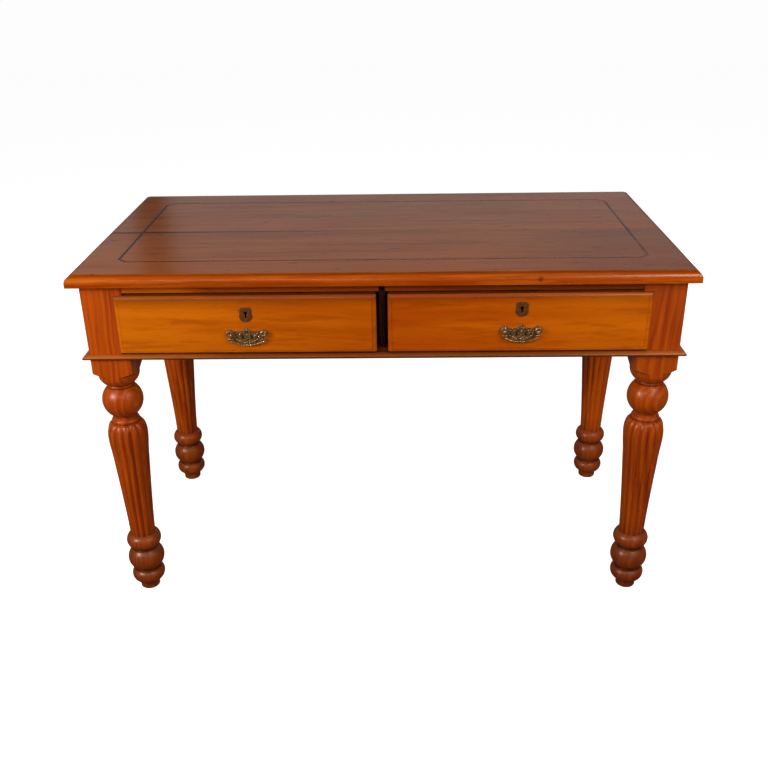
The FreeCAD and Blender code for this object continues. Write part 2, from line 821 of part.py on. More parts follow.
def make_drawer(name):
    """All the pieces of one drawer, built for the right side and mirrored for the left."""
    x = front_middle_x + pull_shift[name]
    pull_z = front_middle_z - pull_drop[name]
    key_z = front_middle_z + keyhole_rise[name] + keyhole_length / 3
    bolts = []
    nuts = []
    shanks = []
    for side in (-1, 1):
        bolt_x = x + side * boss_spacing / 2
        bolts.append(make_handle_bolt(bolt_x, pull_z))
        nuts.append(make_nut(bolt_x, pull_z))
        shanks.append(rod(handle_bolt_radius + handle_hole_gap,
                          V(bolt_x, lip_front, pull_z), V(bolt_x, front_back, pull_z)))
    keyhole = make_keyhole(x, key_z)
    key_plate, pins = make_key_plate(x, key_z, keyhole)
    case_blank, case, bolt, screws = make_lock(x, key_z, keyhole)
    panel = make_panel()
    inner_side = make_drawer_side(drawer_inner, drawer_inner + side_thickness, panel)
    outer_side = make_drawer_side(drawer_outer - side_thickness, drawer_outer, panel)
    front_cuts = shanks + screws + pins + [keyhole, case_blank, panel, inner_side, outer_side]
    pieces = {
        "drawer_front": [make_front_blank().cut(front_cuts)],
        "drawer_inner_side": [inner_side],
        "drawer_outer_side": [outer_side],
        "drawer_back": [make_drawer_back([inner_side, outer_side])],
        "drawer_bottom": [panel],
        "lock_case": [case],
        "lock_bolt": [bolt],
        "lock_screws": screws,
        "key_plate": [key_plate],
        "key_plate_pins": pins,
        "handle_plate": [make_handle_plate(x, pull_z)],
        "handle_bolts": bolts,
        "handle_nuts": nuts,
        "bail": [make_bail(x, pull_z)],
    }
    for piece, solids in pieces.items():
        save(name + "_" + piece, *[sided(s, name) for s in solids])


os.makedirs("parts", exist_ok=True)

# Aprons and rails first, because the posts' mortises are cut by their tenons
button_slots = at_aprons(make_tongue(button_play))
right_apron = make_side_apron()
aprons = {"left_apron": mirrored(right_apron), "right_apron": right_apron, "back_apron": make_back_apron()}
for node, apron in aprons.items():
    aprons[node] = apron.cut(button_slots)
bottom_rail = make_bottom_rail()
rail_screws = []
strike_screws = []
top_rails = {}
for node in ("left", "right"):
    strike, mortise, fixings = make_strike(front_middle_x + pull_shift[node])
    drivers = make_rail_screws()
    rail = make_top_rail().cut([strike, mortise] + fixings + drivers)
    top_rails[node + "_top_rail"] = sided(rail, node)
    save(node + "_strike_plate", sided(strike, node))
    strike_screws += [sided(s, node) for s in fixings]
    rail_screws += [sided(s, node) for s in drivers]
tenons = list(aprons.values()) + [bottom_rail] + list(top_rails.values())
for node, shape in list(aprons.items()) + list(top_rails.items()) + [("bottom_rail", bottom_rail)]:
    save(node, shape)
save("strike_screws", *strike_screws)
save("rail_screws", *rail_screws)

leg = make_leg()
leg_x = half_width - post_size / 2
for depth_name, y in (("front", front + post_size / 2), ("back", back - post_size / 2)):
    for side_name, x in (("left", -leg_x), ("right", leg_x)):
        save("leg_" + depth_name + "_" + side_name, moved(leg, x, y, 0).cut(tenons))

save("front_moulding", make_front_moulding())
side_moulding = make_side_moulding()
save("left_moulding", mirrored(side_moulding))
save("right_moulding", side_moulding)

save("centre_partition", box(-partition_half, partition_half, front + partition_setback, back_inner,
                             opening_bottom, under_top))
save("centre_runner", box(-centre_runner_width / 2, centre_runner_width / 2, rail_back, back_inner,
                          carcass_bottom, opening_bottom))
side_runner = box(post_inner - side_runner_width, post_inner, rail_back, back_inner,
                  carcass_bottom, opening_bottom)
save("left_runner", mirrored(side_runner))
save("right_runner", side_runner)
guide = box(partition_half, partition_half + guide_thickness, rail_back, back_inner,
            opening_bottom, opening_bottom + guide_height)
save("drawer_guides", mirrored(guide), guide)
side_kicker = box(post_inner - kicker_width, post_inner, top_rail_back, back_inner, opening_top, under_top)
centre_kicker = box(partition_half, partition_half + kicker_width, top_rail_back, back_inner,
                    opening_top, under_top)
save("side_kickers", mirrored(side_kicker), side_kicker)
save("centre_kickers", mirrored(centre_kicker), centre_kicker)

button_screw = make_button_screw()
button_screws = at_aprons(button_screw)
save("top_buttons", *at_aprons(make_button().cut(button_screw)))
save("button_screws", *button_screws)

inlay = make_inlay()
save("inlay_stringing", *inlay)
top = make_top().cut(inlay + [make_joint_vee()] + button_screws + rail_screws)
reach = top_depth
front_half = box(-top_width, top_width, -reach, board_joint_y, 0, 2 * desk_height)
save("top_front_board", top.common(front_half))
save("top_back_board", top.cut(front_half))

for drawer in ("left", "right"):
    make_drawer(drawer)
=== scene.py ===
import math

import bmesh
import bpy
from mathutils import Euler, Matrix, Vector


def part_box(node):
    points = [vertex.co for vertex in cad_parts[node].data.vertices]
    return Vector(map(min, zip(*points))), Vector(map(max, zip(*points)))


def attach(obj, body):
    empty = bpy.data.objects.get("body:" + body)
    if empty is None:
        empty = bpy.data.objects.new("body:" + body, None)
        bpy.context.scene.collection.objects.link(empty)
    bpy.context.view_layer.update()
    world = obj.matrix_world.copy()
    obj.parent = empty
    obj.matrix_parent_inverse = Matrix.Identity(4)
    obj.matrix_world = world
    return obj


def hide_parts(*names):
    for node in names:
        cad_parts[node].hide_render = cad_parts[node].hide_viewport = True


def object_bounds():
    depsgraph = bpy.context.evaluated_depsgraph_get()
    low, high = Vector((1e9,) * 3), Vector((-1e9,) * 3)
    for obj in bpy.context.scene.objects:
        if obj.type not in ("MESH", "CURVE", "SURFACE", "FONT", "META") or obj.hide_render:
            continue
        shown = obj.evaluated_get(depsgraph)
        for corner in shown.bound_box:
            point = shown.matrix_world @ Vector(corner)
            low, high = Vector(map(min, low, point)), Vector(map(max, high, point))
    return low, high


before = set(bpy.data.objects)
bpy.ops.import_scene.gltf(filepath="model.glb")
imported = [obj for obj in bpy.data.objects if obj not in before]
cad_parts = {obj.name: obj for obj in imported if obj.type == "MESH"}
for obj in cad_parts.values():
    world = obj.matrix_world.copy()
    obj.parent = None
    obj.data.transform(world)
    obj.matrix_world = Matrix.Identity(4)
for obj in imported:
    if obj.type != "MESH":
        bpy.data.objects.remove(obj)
cad_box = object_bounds()

MM = 0.001
SIDES = ("left", "right")

# Places on the desk by which the marks on its wood are laid
JOINT_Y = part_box("top_back_board")[0][1]
TOP_HEIGHT = cad_box[1][2]
UNDER_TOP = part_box("top_front_board")[0][2]
CARCASS_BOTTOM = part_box("front_moulding")[0][2]


# Colours, nodes and materials

# A Mix node's sockets for colours: the share of the upper one, the lower and the upper one, and the result
SHARE, UNDER, OVER, RESULT = 0, 6, 7, 2


def linear(hex_colour):
    """An sRGB hex colour as the linear RGBA that the shader works in."""
    shares = [int(hex_colour[at:at + 2], 16) / 255 for at in (1, 3, 5)]
    return [s / 12.92 if s <= 0.04045 else ((s + 0.055) / 1.055) ** 2.4 for s in shares] + [1.0]


def add(tree, kind, inputs=(), out=0, **settings):
    """Adds a node with its settings and links, and gives one of its outputs.

    The inputs are in the node's own order, or in a dict by name or number. Each is a link, a hex colour
    or a plain value. A MapRange's are a value, the two ends it is taken from and the two it is taken to.
    """
    made = tree.nodes.new("ShaderNode" + kind)
    for name, value in settings.items():
        setattr(made, name, value)
    for name, value in inputs.items() if isinstance(inputs, dict) else enumerate(inputs):
        if isinstance(value, bpy.types.NodeSocket):
            tree.links.new(value, made.inputs[name])
        else:
            made.inputs[name].default_value = linear(value) if isinstance(value, str) else value
    return made.outputs[out] if made.outputs else made


def new_material(name):
    """An empty material and its node tree."""
    made = bpy.data.materials.new(name)
    made.use_nodes = True
    made.node_tree.nodes.clear()
    return made, made.node_tree


def per_metre(long_mm, wide_mm):
    """Pattern scale for a mark that is long_mm along the grain and wide_mm across it."""
    return (1000 / long_mm, 1000 / wide_mm, 1000 / wide_mm)


# Varnished wood

GRAIN_TURN = {
    "x": (0.0, 0.0, 0.0),
    "y": (0.0, 0.0, math.pi / 2),
    "z": (0.0, -math.pi / 2, 0.0),
}
# How far the tree's heart leans from the grain, in radians, and how far its rings sway
HEART_LEAN = 0.02
RING_SWAY = 34 * MM
# The tone that the patterns are added to, and the middle and the spread of their sum
TONE_START, TONE_MIDDLE, TONE_SPREAD = -0.10, 0.70, 0.28
WORN_ARRIS = 1.2 * MM
POLISH_AND_SHADE_REACH = 12 * MM


def varnished_rimu(name, grain, heart, colours, ring_mm=9.0, figure=1.0, gloss=0.24, polish_and_shade=0.6, shine=0.5,
                   tint="#ffc488", marks=()):
    """Rimu, planed or turned, stained and varnished: long soft bands of orange and brown along the grain.

    The colours are the wood's pale, deep and dark tone. The tree's heart is a line through the point heart
    along the grain, leaning a little so that the year rings run out of the face in long arches. The amber
    varnish gives a warm, soft shine over the bands, and its arrises are worn round. The hollows are
    darkened, partly by old polish and partly as painted shade. Each mark is a function that makes a mask,
    and the colour laid over the wood there.
    """
    pale, deep, dark = colours
    made, tree = new_material(name)
    place = add(tree, "TexCoord", out="Object")
    turn = Euler(GRAIN_TURN[grain])
    turn.rotate_axis("Y", HEART_LEAN)
    turn.rotate_axis("Z", HEART_LEAN / 2)
    board = add(tree, "Mapping", {"Vector": place, "Location": heart, "Rotation": turn},
                vector_type="TEXTURE")
    slow = add(tree, "VectorMath", (board, per_metre(420, 90)), operation="MULTIPLY")
    sway = add(tree, "TexNoise", {"Vector": slow, "Scale": 1.0, "Detail": 3.0}, out="Color")
    swayed = add(tree, "VectorMath", (sway, (0.0, RING_SWAY, RING_SWAY), board), operation="MULTIPLY_ADD")
    spoke = add(tree, "VectorMath", (swayed, (0.0, 1.0, 1.0)), operation="MULTIPLY")
    radius = add(tree, "VectorMath", {0: spoke}, out="Value", operation="LENGTH")
    years = add(tree, "Math", (radius, 1000 / ring_mm), operation="MULTIPLY")
    bands = add(tree, "TexNoise", {"W": years, "Scale": 1.0, "Detail": 2.0, "Roughness": 0.65},
                noise_dimensions="1D")
    late = add(tree, "Math", {0: years}, operation="FRACT")
    late_line = add(tree, "Math", (late, 5.0), operation="POWER")
    # Real fibres and pores are a tenth of these widths, drawn coarser so that they show
    fibre_place = add(tree, "VectorMath", (swayed, per_metre(90, 2.2)), operation="MULTIPLY")
    fibre = add(tree, "TexNoise", {"Vector": fibre_place, "Scale": 1.0, "Detail": 4.0, "Roughness": 0.6})
    pore_place = add(tree, "VectorMath", (board, per_metre(26, 1.3)), operation="MULTIPLY")
    pore = add(tree, "TexNoise", {"Vector": pore_place, "Scale": 1.0, "Detail": 2.0})
    pores = add(tree, "MapRange", (pore, 0.66, 0.76))
    cloud_place = add(tree, "VectorMath", (board, per_metre(260, 60)), operation="MULTIPLY")
    cloud = add(tree, "TexNoise", {"Vector": cloud_place, "Scale": 1.0, "Detail": 2.0})

    tone = TONE_START
    for pattern, weight in ((bands, 0.62), (fibre, 0.42), (late_line, 0.10), (cloud, 0.55)):
        tone = add(tree, "Math", (pattern, weight, tone), operation="MULTIPLY_ADD")
    spread = TONE_SPREAD / figure
    tone = add(tree, "MapRange", (tone, TONE_MIDDLE - spread, TONE_MIDDLE + spread))
    pore_share = add(tree, "Math", (pores, 0.4), operation="MULTIPLY")
    # Old polish and painted shade: the wood is darkened where its own surfaces close round a hollow
    open_air = add(tree, "AmbientOcclusion", {"Distance": POLISH_AND_SHADE_REACH}, out="AO", samples=8, only_local=True)
    polish_and_shade_share = add(tree, "MapRange", (open_air, 0.95, 0.35, 0.0, polish_and_shade))

    layers = [(tone, deep), (pore_share, dark)]
    layers += [(mask(tree, place), mark_colour) for mask, mark_colour in marks]
    layers += [(polish_and_shade_share, dark)]
    colour = pale
    for share, upper in layers:
        colour = add(tree, "Mix", {SHARE: share, UNDER: colour, OVER: upper}, out=RESULT, data_type="RGBA")

    rough = add(tree, "Math", (fibre, 0.10, gloss - 0.05), operation="MULTIPLY_ADD")
    rough = add(tree, "Math", (cloud, 0.10, rough), operation="MULTIPLY_ADD")
    relief = add(tree, "Math", (pores, -0.5, fibre), operation="MULTIPLY_ADD")
    arris = add(tree, "Bevel", {"Radius": WORN_ARRIS}, samples=4)
    normal = add(tree, "Bump", {"Height": relief, "Strength": 0.3, "Distance": 0.15 * MM, "Normal": arris})
    shader = add(tree, "BsdfPrincipled", {"Base Color": colour, "Roughness": rough, "Normal": normal,
                                          "IOR": 1.5, "Specular IOR Level": shine, "Specular Tint": tint})
    add(tree, "OutputMaterial", {"Surface": shader})
    return made


# Marks on the varnished wood

def split_joint(tree, place):
    """The open joint between the top's boards: wide and dark at the left end, closed past the middle.

    The real crack is 1 to 2 mm wide. It is drawn with the dirt round it, so that it shows.
    """
    across = add(tree, "SeparateXYZ", {"Vector": place}, out="Y")
    along = add(tree, "SeparateXYZ", {"Vector": place}, out="X")
    # The dirt's edges wander over about 110 mm along the joint and 25 mm across it
    stretch = add(tree, "VectorMath", (place, (9.0, 40.0, 1.0)), operation="MULTIPLY")
    wander = add(tree, "TexNoise", {"Vector": stretch, "Scale": 1.0, "Detail": 4.0})
    off_line = add(tree, "Math", (across, -JOINT_Y), operation="ADD")
    distance = add(tree, "Math", {0: off_line}, operation="ABSOLUTE")
    half_width = add(tree, "MapRange", (along, -0.61, 0.15, 9.0 * MM, 0.6 * MM))
    ragged = add(tree, "Math", (wander, 1.5, 0.25), operation="MULTIPLY_ADD")
    half_width = add(tree, "Math", (half_width, ragged), operation="MULTIPLY")
    nearness = add(tree, "Math", (distance, half_width), operation="DIVIDE")
    inside = add(tree, "MapRange", (nearness, 1.1, 0.5))
    strength = add(tree, "MapRange", (along, -0.4, 0.3, 0.85, 0.12))
    return add(tree, "Math", (inside, strength), operation="MULTIPLY")


def flecks(long_mm, wide_mm, rare, share):
    """Gives the mask of scattered marks that lie along X. The rarer they are, the fewer and smaller."""
    def mask(tree, place):
        stretch = add(tree, "VectorMath", (place, per_metre(long_mm, wide_mm)), operation="MULTIPLY")
        fleck = add(tree, "TexNoise", {"Vector": stretch, "Scale": 1.0, "Detail": 3.0, "Roughness": 0.6})
        return add(tree, "MapRange", (fleck, rare, rare + 0.09, 0.0, share))
    return mask


def level_band(bottom, top, share, soft_mm):
    """Gives the mask of a level band between two heights, which fades out over soft_mm at its edges."""
    soft = soft_mm / 2 * MM

    def mask(tree, place):
        level = add(tree, "SeparateXYZ", {"Vector": place}, out="Z")
        above = add(tree, "MapRange", (level, bottom - soft, bottom + soft, 0.0, share))
        below = add(tree, "MapRange", (level, top + soft, top - soft))
        return add(tree, "Math", (above, below), operation="MULTIPLY")
    return mask


def round_spot(middle_x, middle_z, radius_mm, soft_mm, share):
    """Gives the mask of a disc on a front face, seen from in front."""
    def mask(tree, place):
        off = add(tree, "VectorMath", (place, (middle_x, 0.0, middle_z)), operation="SUBTRACT")
        off = add(tree, "VectorMath", (off, (1.0, 0.0, 1.0)), operation="MULTIPLY")
        away = add(tree, "VectorMath", {0: off}, out="Value", operation="LENGTH")
        return add(tree, "MapRange", (away, (radius_mm + soft_mm) * MM, radius_mm * MM, 0.0, share))
    return mask


def slow_change(start, finish, share):
    """Gives the mask of a change of tone from one X to another, its border drawn out along the grain."""
    reach = 0.5
    start += reach / 2
    finish += reach / 2

    def mask(tree, place):
        stretch = add(tree, "VectorMath", (place, per_metre(260, 22)), operation="MULTIPLY")
        wander = add(tree, "TexNoise", {"Vector": stretch, "Scale": 1.0, "Detail": 3.0})
        along = add(tree, "SeparateXYZ", {"Vector": place}, out="X")
        border = add(tree, "Math", (wander, reach, along), operation="MULTIPLY_ADD")
        return add(tree, "MapRange", (border, start, finish, 0.0, share))
    return mask


def facing_up(share):
    """Gives the mask of faces that look up, where dust settles."""
    def mask(tree, place):
        normal = add(tree, "NewGeometry", out="Normal")
        upward = add(tree, "SeparateXYZ", {"Vector": normal}, out="Z")
        return add(tree, "MapRange", (upward, 0.15, 0.75, 0.0, share))
    return mask


def long_grain(tree, place):
    """The mask of faces that run along X, which leaves out the end grain."""
    normal = add(tree, "NewGeometry", out="Normal")
    sideways = add(tree, "SeparateXYZ", {"Vector": normal}, out="X")
    endways = add(tree, "Math", {0: sideways}, operation="ABSOLUTE")
    return add(tree, "MapRange", (endways, 0.7, 0.3))


def shared(*masks):
    """Gives the mask of the places that some masks share."""
    def mask(tree, place):
        share = masks[0](tree, place)
        for other in masks[1:]:
            share = add(tree, "Math", (share, other(tree, place)), operation="MULTIPLY")
        return share
    return mask


# The face of the top has faded to brown, and its moulded edge has kept the orange of the varnish
MOULDED_EDGE = level_band(UNDER_TOP, TOP_HEIGHT - 3 * MM, 0.7, 4)
EDGE_FOOT = level_band(UNDER_TOP - 5 * MM, UNDER_TOP + 10 * MM, 0.4, 5)
CHIPS = flecks(9, 9, 0.67, 0.9)
TOP_MARKS = (
    (flecks(350, 28, 0.52, 0.45), "#803808"),
    (flecks(50, 12, 0.63, 0.75), "#42200e"),
    (MOULDED_EDGE, "#b44200"),
    (shared(MOULDED_EDGE, long_grain, flecks(150, 7, 0.48, 0.6)), "#d66c0a"),
    (shared(MOULDED_EDGE, long_grain, flecks(80, 5, 0.58, 0.5)), "#7a2a00"),
    # Painted shade along the upper arris of the moulded edge
    (level_band(TOP_HEIGHT - 4 * MM, TOP_HEIGHT - 1.5 * MM, 0.4, 1.5), "#7a2602"),
    (shared(EDGE_FOOT, slow_change(0.45, 0.15, 1)), "#701800"),
    (shared(CHIPS, level_band(UNDER_TOP, UNDER_TOP + 2 * MM, 1, 2)), "#d8a070"),
    (split_joint, "#36180c"),
)
# A small knot shows in the front edge, and the right-hand third of the front board is stained darker
KNOT = (round_spot(middle_x=0.303, middle_z=0.757, radius_mm=3, soft_mm=4, share=0.7), "#5a2006")
FRONT_STAIN = (slow_change(0.20, 0.45, 0.4), "#5a2408")
# The moulding has a painted highlight along its nose, and painted shade below the nose and over the middle
# of its length, where the side lamps reach least; pale chips mark its lower arris
MOULDING_MARKS = (
    (level_band(CARCASS_BOTTOM - 5 * MM, CARCASS_BOTTOM + 3.5 * MM, 0.75, 2), "#5a240a"),
    (level_band(CARCASS_BOTTOM + 4.5 * MM, CARCASS_BOTTOM + 7.5 * MM, 0.45, 2.5), "#cc8248"),
    (shared(slow_change(-0.50, -0.30, 0.5), slow_change(0.55, 0.35, 1)), "#2c0c02"),
    (shared(CHIPS, level_band(CARCASS_BOTTOM, CARCASS_BOTTOM + 2 * MM, 1, 2)), "#d0925c"),
)
# Under the overhang the top rails carry a painted shadow: lit only at the left end, and darkest to the right
RAIL_PAINTED_SHADOW = (
    (slow_change(-0.47, -0.33, 0.6), "#5e1002"),
    (slow_change(-0.10, 0.30, 0.35), "#320a02"),
)
# Between the drawers the bottom rail shows at the foot of the dark slot, and is painted near black there as
# painted shade
SLOT_PAINTED_SHADE = (round_spot(middle_x=0.0, middle_z=0.605, radius_mm=15, soft_mm=3, share=0.9), "#1c0802")
# The legs are painted darker towards the floor as painted shade, and dust lies on their rings
LEG_MARKS = (
    (level_band(-0.1, 0.15, 0.5, 80), "#4e2410"),
    (shared(facing_up(0.35), level_band(-0.1, 0.155, 1, 20)), "#704830"),
)
# Which way along X a drawer's outer end lies, and how dark the painted shadow of the overhang makes the
# drawer's upper edge
DRAWER_ENDS = {"left": (-1, 0.5), "right": (1, 0.35)}
# The dark patch under a handle, old polish with painted shade behind the bail, is a disc cut off at the
# bolts: its middle above the bail's foot, its radius
HANDLE_PATCH_UP_MM, HANDLE_PATCH_RADIUS_MM = 34.8, 33.5


def drawer_marks(side):
    """Marks on a drawer front: golden at its outer end, redder at its inner one, dark round its hardware."""
    outer, shade = DRAWER_ENDS[side]
    low, high = (corner[2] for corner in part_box(side + "_drawer_front"))
    key_low, key_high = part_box(side + "_key_plate")
    key_x, key_z = ((key_low[axis] + key_high[axis]) / 2 for axis in (0, 2))
    bail_low, bail_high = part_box(side + "_bail")
    bail_x = (bail_low[0] + bail_high[0]) / 2
    bolt_low, bolt_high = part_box(side + "_handle_bolts")
    bolt_z = (bolt_low[2] + bolt_high[2]) / 2
    patch = round_spot(bail_x, bail_low[2] + HANDLE_PATCH_UP_MM * MM, HANDLE_PATCH_RADIUS_MM, 2.5, 0.85)
    return (
        # Painted light towards the outer end, as from the lamp on that side, and painted shade towards the
        # inner end
        (slow_change(outer * 0.20, outer * 0.52, 0.35), "#dc760a"),
        (slow_change(outer * 0.30, outer * 0.02, 0.40), "#a43a00"),
        (flecks(110, 12, 0.53, 0.35), "#9a3a00"),
        # Painted shadow of the overhang along the upper edge
        (level_band(high - 18 * MM, high + 20 * MM, shade, 16), "#5a1a00"),
        # Painted reflection and shade on the rounded upper arris: dull and greyish
        (level_band(high - 8 * MM, high, 0.35, 3), "#84442a"),
        # Painted shadow of the gap over the moulding, along the lower edge
        (level_band(low, low + 4.5 * MM, 0.9, 2), "#1c0802"),
        # Painted shade on the top face, so that the gap above the drawer looks dark
        (level_band(high - 0.3 * MM, high, 0.85, 0.2), "#3c1406"),
        # Painted shade inside the keyhole
        (round_spot(key_x, key_z, 9.0, 1.0, 1.0), "#140602"),
        # Old polish round the handle, and painted shade in the gap behind the bail
        (shared(patch, level_band(low, bolt_z, 1, 3)), "#2c0e04"),
    )


# Pale, deep and dark tone of each wood
TOP_COLOURS = ("#c8660e", "#a24c0a", "#4a2008")
# The mouldings' tones are darker than the top's as painted shade
MOULDING_COLOURS = ("#b4520c", "#924008", "#421804")
HONEY_COLOURS = ("#d86c06", "#b65004", "#6a2a04")
AMBER_COLOURS = ("#d66604", "#b44802", "#642404")
RAIL_COLOURS = ("#d2660e", "#aa4a08", "#481806")
APRON_COLOURS = ("#cc5c08", "#a04004", "#441404")
# The back legs are painted paler than the front ones, as painted light where less lamp light reaches them
LEG_COLOURS = {"front": ("#c65404", "#8e2c02", "#360e02"), "back": ("#de6006", "#a43804", "#481404")}

# The top is the smoothest and its figure the quietest, and the legs are duller, with more old polish and
# painted shade in their hollows
TOP_FINISH = {"figure": 0.7, "gloss": 0.16, "tint": "#ffe4c8"}
DRAWER_FINISH = {"ring_mm": 13, "figure": 0.9, "gloss": 0.21, "polish_and_shade": 0.35}
LEG_FINISH = {"ring_mm": 11, "figure": 1.3, "gloss": 0.28, "polish_and_shade": 0.75, "shine": 0.42, "tint": "#fff0e0"}

material_of = {
    "top_front_board": varnished_rimu("rimu_varnished_top_front", "x", (0.2, 0.1, 0.55), TOP_COLOURS,
                                      marks=(FRONT_STAIN, *TOP_MARKS, KNOT), **TOP_FINISH),
    "top_back_board": varnished_rimu("rimu_varnished_top_back", "x", (-0.3, 0.28, 0.50), TOP_COLOURS,
                                     marks=TOP_MARKS, **TOP_FINISH),
    "left_drawer_front": varnished_rimu("rimu_varnished_left_drawer", "x", (0.1, -0.15, 0.56),
                                        HONEY_COLOURS, marks=drawer_marks("left"), **DRAWER_FINISH),
    "right_drawer_front": varnished_rimu("rimu_varnished_right_drawer", "x", (0.4, -0.12, 0.74),
                                         AMBER_COLOURS, marks=drawer_marks("right"), **DRAWER_FINISH),
    "bottom_rail": varnished_rimu("rimu_varnished_bottom_rail", "x", (0.0, -0.2, 0.5), RAIL_COLOURS,
                                  marks=(SLOT_PAINTED_SHADE,)),
    "front_moulding": varnished_rimu("rimu_varnished_front_moulding", "x", (0.1, -0.25, 0.55),
                                     MOULDING_COLOURS, marks=MOULDING_MARKS),
    "back_apron": varnished_rimu("rimu_varnished_back_apron", "x", (0.1, 0.1, 0.5), APRON_COLOURS),
}
top_rail_wood = varnished_rimu("rimu_varnished_top_rails", "x", (0.0, -0.2, 0.5), RAIL_COLOURS,
                               marks=RAIL_PAINTED_SHADOW)
side_moulding_wood = varnished_rimu("rimu_varnished_side_mouldings", "y", (0.0, 0.1, 0.55), MOULDING_COLOURS,
                                    marks=MOULDING_MARKS)
side_apron_wood = varnished_rimu("rimu_varnished_side_aprons", "y", (0.0, 0.1, 0.52), APRON_COLOURS)
for side in SIDES:
    material_of[side + "_top_rail"] = top_rail_wood
    material_of[side + "_moulding"] = side_moulding_wood
    material_of[side + "_apron"] = side_apron_wood

# Each leg was turned from its own length of wood, cut at some distance from the heart of the tree
LEG_HEARTS_MM = {
    "front_left": (62, -48),
    "front_right": (-70, 40),
    "back_left": (-55, 60),
    "back_right": (80, 20),
}
for corner, (heart_x, heart_y) in LEG_HEARTS_MM.items():
    low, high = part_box("leg_" + corner)
    heart = ((low[0] + high[0]) / 2 + heart_x * MM, (low[1] + high[1]) / 2 + heart_y * MM, 0.3)
    leg_colours = LEG_COLOURS[corner.split("_")[0]]
    material_of["leg_" + corner] = varnished_rimu("rimu_varnished_leg_" + corner, "z", heart, leg_colours,
                                                  marks=LEG_MARKS, **LEG_FINISH)


# Bare wood and inlay

def bare_wood(name, grain, pale, deep, dark):
    """Sawn and planed inner wood that was never varnished: dull, dry and paler, dusty in the corners."""
    made, tree = new_material(name)
    place = add(tree, "TexCoord", out="Object")
    turned = add(tree, "Mapping", {"Vector": place, "Location": (0.0, 0.2, 0.4),
                                   "Rotation": GRAIN_TURN[grain]}, vector_type="TEXTURE")
    # Here too the fibres are drawn coarser than real ones, so that they show
    fibre_place = add(tree, "VectorMath", (turned, per_metre(110, 3)), operation="MULTIPLY")
    fibre = add(tree, "TexNoise", {"Vector": fibre_place, "Scale": 1.0, "Detail": 5.0, "Roughness": 0.65})
    cloud_place = add(tree, "VectorMath", (turned, per_metre(300, 60)), operation="MULTIPLY")
    cloud = add(tree, "TexNoise", {"Vector": cloud_place, "Scale": 1.0, "Detail": 2.0})
    tone = add(tree, "Math", (fibre, cloud), operation="ADD")
    tone = add(tree, "MapRange", (tone, 0.75, 1.25))
    open_air = add(tree, "AmbientOcclusion", {"Distance": 30 * MM}, out="AO", samples=8)
    dust = add(tree, "MapRange", (open_air, 0.9, 0.2, 0.0, 0.6))
    colour = add(tree, "Mix", {SHARE: tone, UNDER: pale, OVER: deep}, out=RESULT, data_type="RGBA")
    colour = add(tree, "Mix", {SHARE: dust, UNDER: colour, OVER: dark}, out=RESULT, data_type="RGBA")
    rough = add(tree, "MapRange", (fibre, 0.3, 0.7, 0.55, 0.75))
    normal = add(tree, "Bump", {"Height": fibre, "Strength": 0.4, "Distance": 0.5 * MM})
    shader = add(tree, "BsdfPrincipled", {"Base Color": colour, "Roughness": rough, "Normal": normal,
                                          "Specular IOR Level": 0.2})
    add(tree, "OutputMaterial", {"Surface": shader})
    return made


BARE_COLOURS = ("#b98a58", "#98683a", "#4a2e18")
bare_along = bare_wood("pine_bare_lengthwise", "x", *BARE_COLOURS)
bare_across = bare_wood("pine_bare_front_to_back", "y", *BARE_COLOURS)
# The partition shows only as the dark slot between the drawers, so its wood is painted near black as painted
# shade
partition_painted_shade = bare_wood("pine_painted_shade_dark", "y", "#4c1a06", "#341004", "#140502")


def inlaid_line(name):
    """Dark stained stringing, let into the top and scraped level: worn away in places to the brown wood."""
    made, tree = new_material(name)
    place = add(tree, "TexCoord", out="Object")
    stretch = add(tree, "VectorMath", (place, per_metre(60, 60)), operation="MULTIPLY")
    wear = add(tree, "TexNoise", {"Vector": stretch, "Scale": 1.0, "Detail": 3.0})
    fine_place = add(tree, "VectorMath", (place, per_metre(8, 4)), operation="MULTIPLY")
    scratch = add(tree, "TexNoise", {"Vector": fine_place, "Scale": 1.0, "Detail": 3.0})
    sideways = add(tree, "SeparateXYZ", {"Vector": place}, out="X")
    worn = add(tree, "Math", (scratch, 0.25, wear), operation="MULTIPLY_ADD")
    # The line is black at the left end, patchy at the right end and worn along the sides
    for inner_x, outer_x, kept in ((-0.50, -0.525, 0.30), (0.50, 0.525, 0.02)):
        kept_end = add(tree, "MapRange", (sideways, inner_x, outer_x, 0.0, kept))
        worn = add(tree, "Math", (worn, kept_end), operation="SUBTRACT")
    black = add(tree, "MapRange", (worn, 0.80, 0.46, 0.15, 0.9))
    colour = add(tree, "Mix", {SHARE: black, UNDER: "#8a4212", OVER: "#1a1210"}, out=RESULT,
                 data_type="RGBA")
    rough = add(tree, "MapRange", (scratch, 0.3, 0.7, 0.2, 0.4))
    shader = add(tree, "BsdfPrincipled", {"Base Color": colour, "Roughness": rough})
    add(tree, "OutputMaterial", {"Surface": shader})
    return made


# Metal

